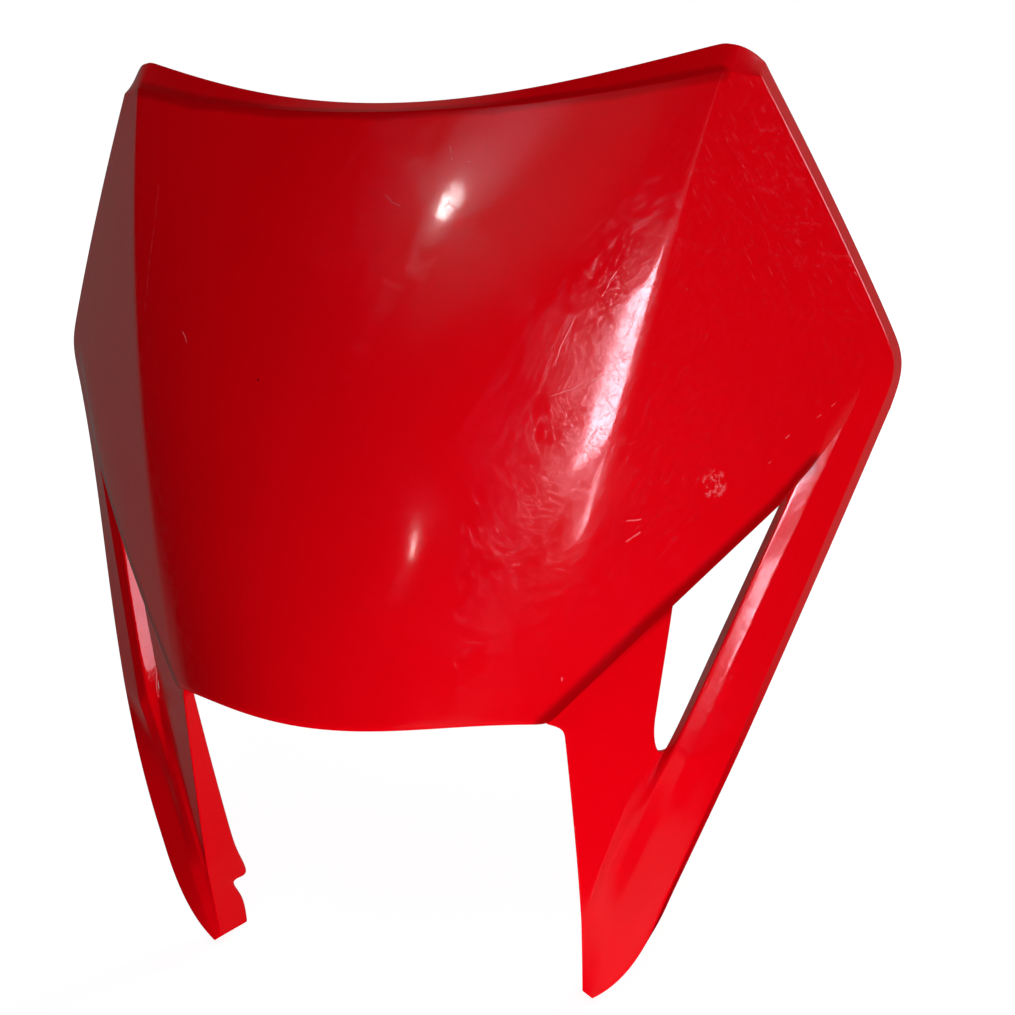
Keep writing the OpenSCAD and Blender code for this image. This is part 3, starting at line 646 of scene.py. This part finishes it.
def mesh_piece(name, points, faces):
    """A smooth-shaded object from points in millimetres."""
    mesh = bpy.data.meshes.new(name)
    mesh.from_pydata([tuple(q * MM) for q in points], [], faces)
    bm = bmesh.new()
    bm.from_mesh(mesh)
    bmesh.ops.delete(bm, geom=[v for v in bm.verts if not v.link_faces], context="VERTS")
    bmesh.ops.recalc_face_normals(bm, faces=bm.faces)
    bm.to_mesh(mesh)
    bm.free()
    mesh.shade_smooth()
    piece = bpy.data.objects.new(name, mesh)
    bpy.context.scene.collection.objects.link(piece)
    return piece


def applied(piece):
    """Replace the piece's mesh by what its modifiers make of it."""
    bpy.context.view_layer.update()
    shown = piece.evaluated_get(bpy.context.evaluated_depsgraph_get())
    mesh = bpy.data.meshes.new_from_object(shown)
    mesh.name = piece.name
    piece.modifiers.clear()
    piece.data = mesh


cowl = mesh_piece("cowl_moulding", *moulding_cage())
smooth = cowl.modifiers.new("smooth", "SUBSURF")
smooth.levels = smooth.render_levels = 2
applied(cowl)

# Screw bosses behind the facets: a post on the wall's inside, with a blind bore that opens at its seat.
# The profile is radius and depth, from the wall (None) over the seat into the bore
BOSS_X, BOSS_Z, BOSS_SEAT = 95, 58, FRONT_Y + 104
BOSS_R, BOSS_EDGE, BORE_R, BORE_DEEP, BOSS_SIDES = 4.5, 0.3, 2, 12, 48
BOSS_PROFILE = [(BOSS_R, None), (BOSS_R, BOSS_SEAT - BOSS_EDGE), (BOSS_R - BOSS_EDGE, BOSS_SEAT),
                (BORE_R + BOSS_EDGE, BOSS_SEAT), (BORE_R, BOSS_SEAT - BOSS_EDGE),
                (BORE_R, BOSS_SEAT - BORE_DEEP)]
ROUND_SIDES = (0, 4)
TRIES, SMALL_STEP, LARGEST_SHARE = 30, 0.01, 0.98


def facet_y(x, z):
    """How far back the facet lies at x and z, halfway through its wall, found by Newton's method."""
    v = u = 0.5
    for _ in range(TRIES):
        q = facet_point(v, u)
        v_way = (facet_point(v + SMALL_STEP, u) - q) / SMALL_STEP
        u_way = (facet_point(v, u + SMALL_STEP) - q) / SMALL_STEP
        dv, du = np.linalg.solve([[v_way[0], u_way[0]], [v_way[2], u_way[2]]], [x - q[0], z - q[2]])
        v, u = min(max(v + dv, 0), LARGEST_SHARE), min(max(u + du, 0), LARGEST_SHARE)
    return facet_point(v, u)[1] + WALL / 2 / abs(unit(np.cross(v_way, u_way))[1])


def add_bosses(mesh):
    """Add a boss behind each facet, as rings of points that start inside the wall."""
    bm = bmesh.new()
    bm.from_mesh(mesh)
    added = []
    turns = [2 * math.pi * n / BOSS_SIDES for n in range(BOSS_SIDES)]
    for side in (-1, 1):
        rings = []
        for radius, y in BOSS_PROFILE:
            spots = [(BOSS_X + radius * math.cos(a), BOSS_Z + radius * math.sin(a)) for a in turns]
            ring = [(side * x, facet_y(x, z) if y is None else y, z) for x, z in spots]
            rings.append([bm.verts.new(Vector(q) * MM) for q in ring])
        for ring_number, (ring, next_ring) in enumerate(zip(rings, rings[1:])):
            for n in range(BOSS_SIDES):
                after = (n + 1) % BOSS_SIDES
                face = bm.faces.new((ring[n], ring[after], next_ring[after], next_ring[n]))
                face.smooth = ring_number in ROUND_SIDES
                added.append(face)
        added += [bm.faces.new(rings[0]), bm.faces.new(rings[-1])]
    bmesh.ops.recalc_face_normals(bm, faces=added)
    bm.to_mesh(mesh)
    bm.free()


add_bosses(cowl.data)
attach(cowl, "root")
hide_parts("cowl")


def feed(tree, slot, value):
    """Give an input a number, a colour or a vector, or link another node's socket to it."""
    if isinstance(value, Shade):
        tree.links.new(value.socket, slot)
    else:
        slot.default_value = value


class Shade:
    """One socket of a node tree, on which sums and products make Math nodes."""

    def __init__(self, tree, socket):
        self.tree, self.socket = tree, socket

    def math(self, kind, first, second):
        node = self.tree.nodes.new("ShaderNodeMath")
        node.operation = kind
        for slot, value in zip(node.inputs, (first, second)):
            feed(self.tree, slot, value)
        return Shade(self.tree, node.outputs[0])

    def __add__(self, other):
        return self.math("ADD", self, other)

    __radd__ = __add__

    def __sub__(self, other):
        return self.math("SUBTRACT", self, other)

    def __rsub__(self, other):
        return self.math("SUBTRACT", other, self)

    def __mul__(self, other):
        return self.math("MULTIPLY", self, other)

    __rmul__ = __mul__


class Nodes:
    """A node tree, emptied, and the means to add nodes to it."""

    def __init__(self, owner):
        owner.use_nodes = True
        self.tree = owner.node_tree
        self.tree.nodes.clear()

    def node(self, kind, settings=None, out=0, **values):
        """Add a node, its settings first and then its inputs, by name or as i0, i1; give one output."""
        node = self.tree.nodes.new("ShaderNode" + kind)
        for key, value in (settings or {}).items():
            setattr(node, key, value)
        for key, value in values.items():
            slot = node.inputs[int(key[1:])] if key[1:].isdigit() else node.inputs[key.replace("_", " ")]
            feed(self.tree, slot, value)
        return Shade(self.tree, node.outputs[out]) if len(node.outputs) else None

    def vector(self, kind, *values, out=0):
        inputs = {f"i{n}": value for n, value in enumerate(values)}
        return self.node("VectorMath", {"operation": kind}, out, **inputs)

    def ramp(self, value, low, high, smooth=True):
        """0 at low, 1 at high and the same beyond them; low may be the larger of the two."""
        kind = "SMOOTHSTEP" if smooth else "LINEAR"
        return self.node("MapRange", {"interpolation_type": kind}, Value=value, From_Min=low, From_Max=high)

    def noise(self, place, scale, detail=2.0, rough=0.5, out=0):
        return self.node("TexNoise", None, out, Vector=place, Scale=scale, Detail=detail, Roughness=rough)

    def blend(self, share, a, b):
        """Mix of two colours."""
        return self.node("Mix", {"data_type": "RGBA"}, 2, i0=share, i6=a, i7=b)


class Finish(Nodes):
    """A material with one Principled shader."""

    def __init__(self, name, **sockets):
        self.material = bpy.data.materials.new(name)
        super().__init__(self.material)
        shader = self.node("BsdfPrincipled", **sockets)
        self.shader = shader.socket.node
        self.node("OutputMaterial", Surface=shader)

    def set(self, **sockets):
        for name, value in sockets.items():
            feed(self.tree, self.shader.inputs[name.replace("_", " ")], value)


# Scratches in the plastic, in millimetres: half width, how far it shows and the points that it runs through
SCRATCHES = [
    (0.16, 0.4, [(-70.8, 13.2, 99.4), (-69.6, 6.6, 89), (-70, 1.3, 78.6), (-69.8, -4.4, 66.8)]),
    (0.3, 0.9, [(-52.4, -15.2, 63.4), (-50.4, -17.2, 61.1)]),
    (0.15, 0.7, [(5.3, -3.4, 98.6), (7.6, -4.5, 96.8), (9.9, -5.2, 96)]),
    (0.18, 0.8, [(20, 8, 111.8), (21.8, 4.1, 106.5)]),
    (0.14, 0.55, [(21, 4, 105.6), (29, 4.5, 106)]),
    (0.16, 0.8, [(53, -21, 50.3), (60.9, -15.8, 52.3), (68.1, -10.1, 55.5)]),
    (0.14, 0.5, [(57.6, -10, 68.8), (54.9, -14.6, 62.3), (53.8, -17.3, 57.4)]),
    (0.13, 0.4, [(66.5, -0.7, 78.4), (63.4, -5, 73)]),
    (0.12, 0.3, [(64.5, -19.4, 35.6), (73.9, -10.7, 36.3)]),
    (0.28, 0.9, [(70.4, -18.5, 16.5), (74.4, -14.6, 15.9)]),
    (0.3, 0.8, [(71.6, -18.3, 11.2), (74.5, -15.2, 12.4)]),
    (0.22, 0.6, [(120.1, 37.2, 34.8), (119, 35.8, 33.9)]),
    (0.22, 0.6, [(116.4, 32.5, 32.2), (115, 31, 31.4)]),
    (0.3, 0.7, [(108.7, 23.2, 28.9), (107.9, 22.2, 28.4)]),
    (0.25, 0.6, [(104.8, 17.7, 23), (104, 16.9, 22.6)]),
    (0.35, 0.8, [(57.6, -36.2, -21.2), (57.6, -36.3, -22)]),
]
SCUFF, SCUFF_R = (91.3, 3, 20.6), 4.6
DARK_DOT, DOT_R = (-23.9, -29.6, 54.6), 0.5
# Painted shade: the red is made deeper along the turned edges, that is along the facet's lower edge where it
# steps down to the leg and along the panel's top row at the rim's fold: reach, depth of colour, line on the
# right half
SHADED_EDGE_LINES = [(5.2, 1, [facet_edge(u) for u in (0, 0.3, U_GAP, U_BEND)]),
               (3.6, 0.6, [panel_point(0, s) for s in (0, 0.35, 0.7, 1)])]
# Rubbed places: middle and reach. Hair lines: turn in radians, length and width
RUBBED = [((26, 2, 103), 15), ((60, -13, 60), 20), ((62, -22, 30), 16)]
HAIR_LINES = [(0.3, 7, 0.16), (1.1, 5, 0.14), (-0.5, 6, 0.18), (-1.2, 8, 0.15)]
HAIR_DEPTH, HAIR_FADE, HAIR_MORE = 6, (0.64, 0.72), 0.05
SCUFF_CORE, SCUFF_FADE, SCUFF_SHOWS, DIRT_SHOWS = 0.7, (0.5, 0.62), 0.7, 0.9
CLOUD_FADE, CLOUD_SHOWS = (0.35, 0.7), 0.06

# Noise of the finish, as waves per millimetre
WANDER, SCUFF_GRAIN, MOTTLE, RIPPLE, WAVE = 0.25, 0.55, 0.03, 0.4, 0.045

# Heights in millimetres: ripples, waves, hair lines and marks
RIPPLE_H, WAVE_H, HAIR_H, MARK_H = 0.012, 0.12, 0.006, 0.03

# Roughness and clear coat of clean plastic, and what mottling, hair lines, marks and rubbing add
ROUGH, ROUGH_MOTTLE, ROUGH_HAIR, ROUGH_MARK, ROUGH_RUB = 0.06, 0.04, 0.06, 0.3, 0.01
COAT, COAT_MOTTLE, COAT_RUB = 0.02, 0.03, 0.04

# The deep red serves both the random clouds of tone in the plastic and the painted shade along the turned
# edges
RED, DEEP_RED_AND_SHADE = (0.87, 0, 0.005, 1), (0.4, 0, 0.002, 1)
PALE_RED, DIRT = (0.95, 0.13, 0.15, 1), (0.12, 0, 0.004, 1)
red = Finish("red_gloss_plastic", IOR=1.5, Coat_Roughness=0.22, Coat_IOR=1.4)


def largest(shades):
    """The largest of several sockets' values."""
    return functools.reduce(lambda first, second: first.math("MAXIMUM", first, second), shades)


def near(place, middle, reach, core=0.4):
    """1 within a ball round the middle, fading to 0 at its reach."""
    return red.ramp(red.vector("DISTANCE", place, middle, out=1), reach, reach * core)


def scratch_and_shade_line(place, start, end, width, core=0.35):
    """1 along a line from start to end, fading to 0 at its half width."""
    a, run = p(*start), p(*end) - p(*start)
    scale = 1 / (run @ run)
    along = red.vector("DOT_PRODUCT", place, tuple(run * scale), out=1) - float(a @ run * scale)
    foot = red.vector("MULTIPLY_ADD", tuple(run), red.ramp(along, 0, 1, smooth=False), tuple(start))
    return red.ramp(red.vector("DISTANCE", place, foot, out=1), width, width * core)


def lines_through(place, lines):
    """Scratches, and lines of painted shade along edges, through each line's points, from their half width,
    how far they show and the points.
    """
    return [scratch_and_shade_line(place, start, end, width) * shows
            for width, shows, line in lines for start, end in zip(line, line[1:])]


def hair_lines(place, turn, length, width, more):
    """Sparse hair lines across the surface, all in one direction, turned about the Y axis."""
    lines = red.node("Mapping", {"vector_type": "TEXTURE"}, Vector=place, Rotation=(0, turn, 0),
                     Scale=(length, HAIR_DEPTH, width))
    return red.ramp(red.noise(lines, 1, 1, 0.4) + more, *HAIR_FADE)


# Places on the plastic in millimetres: plain, wandering by up to half of one, and all on the right half
spot = red.vector("MULTIPLY", red.node("TexCoord", None, "Object"), (1 / MM, 1 / MM, 1 / MM))
wander = red.vector("ADD", red.vector("SUBTRACT", red.noise(spot, WANDER, out=1), (0.5, 0.5, 0.5)), spot)
right_half = red.vector("ADD", red.vector("MULTIPLY", red.vector("ABSOLUTE", spot), (1, 0, 0)),
                        red.vector("MULTIPLY", spot, (0, 1, 1)))

crumbs = red.ramp(red.noise(wander, SCUFF_GRAIN, 3, 0.7), *SCUFF_FADE)
scuff = near(spot, SCUFF, SCUFF_R, SCUFF_CORE) * crumbs * SCUFF_SHOWS
marks = largest([scuff] + lines_through(wander, SCRATCHES))
rubbed = largest([near(spot, middle, reach) for middle, reach in RUBBED])
hair = sum(hair_lines(spot, turn, length, width, rubbed * HAIR_MORE) for turn, length, width in HAIR_LINES)
mottle = red.noise(spot, MOTTLE, 3)
# Deeper red: random clouds of tone, and painted shade along the facet's lower edge and the top rim
deep = largest([red.ramp(mottle, *CLOUD_FADE) * CLOUD_SHOWS] + lines_through(right_half, SHADED_EDGE_LINES))
tint = red.blend(marks, red.blend(deep, RED, DEEP_RED_AND_SHADE), PALE_RED)
tint = red.blend(near(wander, DARK_DOT, DOT_R) * DIRT_SHOWS, tint, DIRT)
height = (red.noise(spot, RIPPLE, 2) * RIPPLE_H + red.noise(spot, WAVE, 2) * WAVE_H
          - hair * HAIR_H - marks * MARK_H)
rough = ROUGH + mottle * ROUGH_MOTTLE + hair * ROUGH_HAIR + marks * ROUGH_MARK + rubbed * ROUGH_RUB
red.set(Base_Color=tint, Normal=red.node("Bump", None, Strength=1, Distance=MM, Height=height),
        Roughness=rough, Coat_Weight=COAT + mottle * COAT_MOTTLE + rubbed * COAT_RUB)
cowl.data.materials.clear()
cowl.data.materials.append(red.material)

# Stage: a pale floor under the legs that only the camera sees, fading into the white surround, in metres
FLOOR_REACH, FLOOR_FADE, GRAIN_SCALE, GRAIN = 6, (0.25, 0.9), 40, 0.02


def grey(level):
    return level, level, level, 1


NEAR_GREY, FAR_GREY, NEAR_LIGHT, FAR_LIGHT = grey(0.22), grey(0.3), grey(0.93), grey(1)
corners = [(x * FLOOR_REACH, y * FLOOR_REACH, cad_box[0].z) for x, y in ((-1, -1), (1, -1), (1, 1), (-1, 1))]
floor_mesh = bpy.data.meshes.new("floor")
floor_mesh.from_pydata(corners, [], [(0, 1, 2, 3)])
floor = bpy.data.objects.new("floor", floor_mesh)
bpy.context.scene.collection.objects.link(floor)
floor.visible_diffuse = floor.visible_glossy = floor.visible_shadow = False
pale = Finish("pale_floor", Roughness=0.9, Emission_Strength=1.0, Specular_IOR_Level=0.0)
place = pale.node("TexCoord", None, "Object")
far = pale.ramp(pale.vector("LENGTH", place, out=1), *FLOOR_FADE)
grainy = far + pale.noise(place, GRAIN_SCALE, 3) * GRAIN
pale.set(Base_Color=pale.blend(far, NEAR_GREY, FAR_GREY),
         Emission_Color=pale.blend(grainy, NEAR_LIGHT, FAR_LIGHT))
floor_mesh.materials.append(pale.material)


def way_to(azimuth, elevation):
    """The way to something at an azimuth, from the front to the right, and an elevation, in degrees."""
    a, e = math.radians(azimuth), math.radians(elevation)
    return Vector((math.cos(e) * math.sin(a), -math.cos(e) * math.cos(a), math.sin(e)))


def lamp(name, seen_from, azimuth, elevation, away, size, glow=0, power=0, colour=(1, 1, 1),
         shape="RECTANGLE"):
    """A soft lamp, its size and distance in metres, where a point in millimetres sees it at these angles.

    glow: how bright its mirror image is in the plastic; power: the watts that it lights the plastic with.
    """
    way = way_to(azimuth, elevation)
    bulb = bpy.data.lights.new(name, "AREA")
    bulb.shape, bulb.color = shape, colour
    bulb.size, bulb.size_y = size
    bulb.energy = power or glow * math.pi * size[0] * size[1] * (math.pi / 4 if shape == "ELLIPSE" else 1)
    thing = bpy.data.objects.new(name, bulb)
    bpy.context.scene.collection.objects.link(thing)
    thing.location = Vector(seen_from) * MM + way * away
    thing.rotation_euler = way.to_track_quat("Z", "Y").to_euler()
    thing.visible_glossy, thing.visible_diffuse, thing.visible_camera = bool(glow), bool(power), False


CENTRE, PINKISH, SOFT = (0, 0, 0), (1, 0.8, 0.93), (0.9, 0.9)
lamp("bounce_from_below", CENTRE, 31, -28, 1.6, SOFT, power=18.5)
lamp("leg_bounce", (50, -40, -110), 38, -40, 0.5, (0.3, 0.3), power=1.15)
lamp("soft_from_above", CENTRE, 15, 66, 1.6, SOFT, power=8)
lamp("ceiling_lamp", (22, -3, 96), -14, 62, 1.6, (0.085, 0.11), glow=60, shape="ELLIPSE")
lamp("front_lamp", (23, -46, 18), 10.4, 18.9, 1.2, (0.026, 0.07), glow=30, shape="ELLIPSE")
lamp("front_lamp_dot", (23, -44, 24), 9.6, 22.1, 1.2, (0.012, 0.014), glow=12, shape="ELLIPSE")
lamp("window", (68, -8, 60), 55.5, 19, 1.8, (0.27, 0.7), glow=29, colour=PINKISH)
lamp("window_foot", (100, 10, -15), 57.8, 3, 1.8, (0.085, 0.22), glow=22, colour=PINKISH)
lamp("window_behind_right", (118, 50, 60), 122, 16, 1.8, (0.85, 0.7), glow=5, colour=PINKISH)
lamp("soft_from_behind_right", CENTRE, 148, 25, 1.6, SOFT, power=14)

# Surround: white to the camera and nearly dark to the plastic's shading. In mirror images it is a grey room
# behind the object, with two soft glows
ROOM_BACK, ROOM_TOP, ROOM_FLOOR = (0.16, 0.36), (0.75, 0.35), (-0.62, -0.45)
ROOM_GREY, GLOW_PINK, WHITE = (0.135, 0.12, 0.112, 1), (1, 0.72, 0.9, 1), grey(1)
DIM, BY_WINDOW = 0.03, 0.4
world = bpy.data.worlds.new("studio")
bpy.context.scene.world = world
studio = Nodes(world)
seen_by_camera = studio.node("LightPath", None, "Is Camera Ray")
mirrored = studio.node("LightPath", None, "Is Glossy Ray")
looking = studio.node("TexCoord", None, "Generated")
back, up = (studio.node("SeparateXYZ", None, axis, Vector=looking) for axis in (1, 2))
room = studio.ramp(back, *ROOM_BACK) * studio.ramp(up, *ROOM_TOP) * studio.ramp(up, *ROOM_FLOOR)


def wall_glow(azimuth, elevation, half_width, half_height):
    """1 in the middle of a patch of wall seen in the given direction, fading to 0 at its rim."""
    turn = (-math.radians(elevation), 0, math.radians(azimuth))
    patch = studio.node("Mapping", {"vector_type": "TEXTURE"}, Vector=looking, Rotation=turn,
                        Location=way_to(azimuth, elevation), Scale=(half_width, 1, half_height))
    return studio.ramp(studio.vector("LENGTH", patch, out=1), 1, 0.1)


def backdrop(colour, strength):
    return studio.node("Background", None, Color=colour, Strength=strength)


glow = wall_glow(72, 22, 0.2, 0.55) * BY_WINDOW + wall_glow(-6, 69, 0.2, 0.16)
walls = studio.node("AddShader", None, i0=backdrop(ROOM_GREY, room), i1=backdrop(GLOW_PINK, glow))
unseen = studio.node("MixShader", None, i0=mirrored, i1=backdrop(WHITE, DIM), i2=walls)
surround = studio.node("MixShader", None, i0=seen_by_camera, i1=unseen, i2=backdrop(WHITE, 1))
studio.node("OutputWorld", Surface=surround)

# Camera at the photograph's viewpoint, in metres, with its sensor and lens in millimetres
RIGHT = Vector((0.958498, 0.281498, -0.045163))
DOWN = Vector((0.055762, -0.340457, -0.938605))
AHEAD = Vector((-0.279591, 0.897133, -0.342024))
VIEWPOINT = Vector((0.147150, -0.363965, 0.150367))
SENSOR, LENS, NEAREST, FARTHEST = 36, 51.43, 0.01, 50
camera = bpy.data.objects.new("camera", bpy.data.cameras.new("camera"))
bpy.context.scene.collection.objects.link(camera)
camera.data.sensor_width, camera.data.lens = SENSOR, LENS
camera.data.clip_start, camera.data.clip_end = NEAREST, FARTHEST
turned = Matrix((RIGHT, -DOWN, -AHEAD)).transposed().to_4x4()
camera.matrix_world = Matrix.Translation(VIEWPOINT) @ turned
bpy.context.scene.camera = camera
bpy.context.scene.view_settings.view_transform = "Standard"
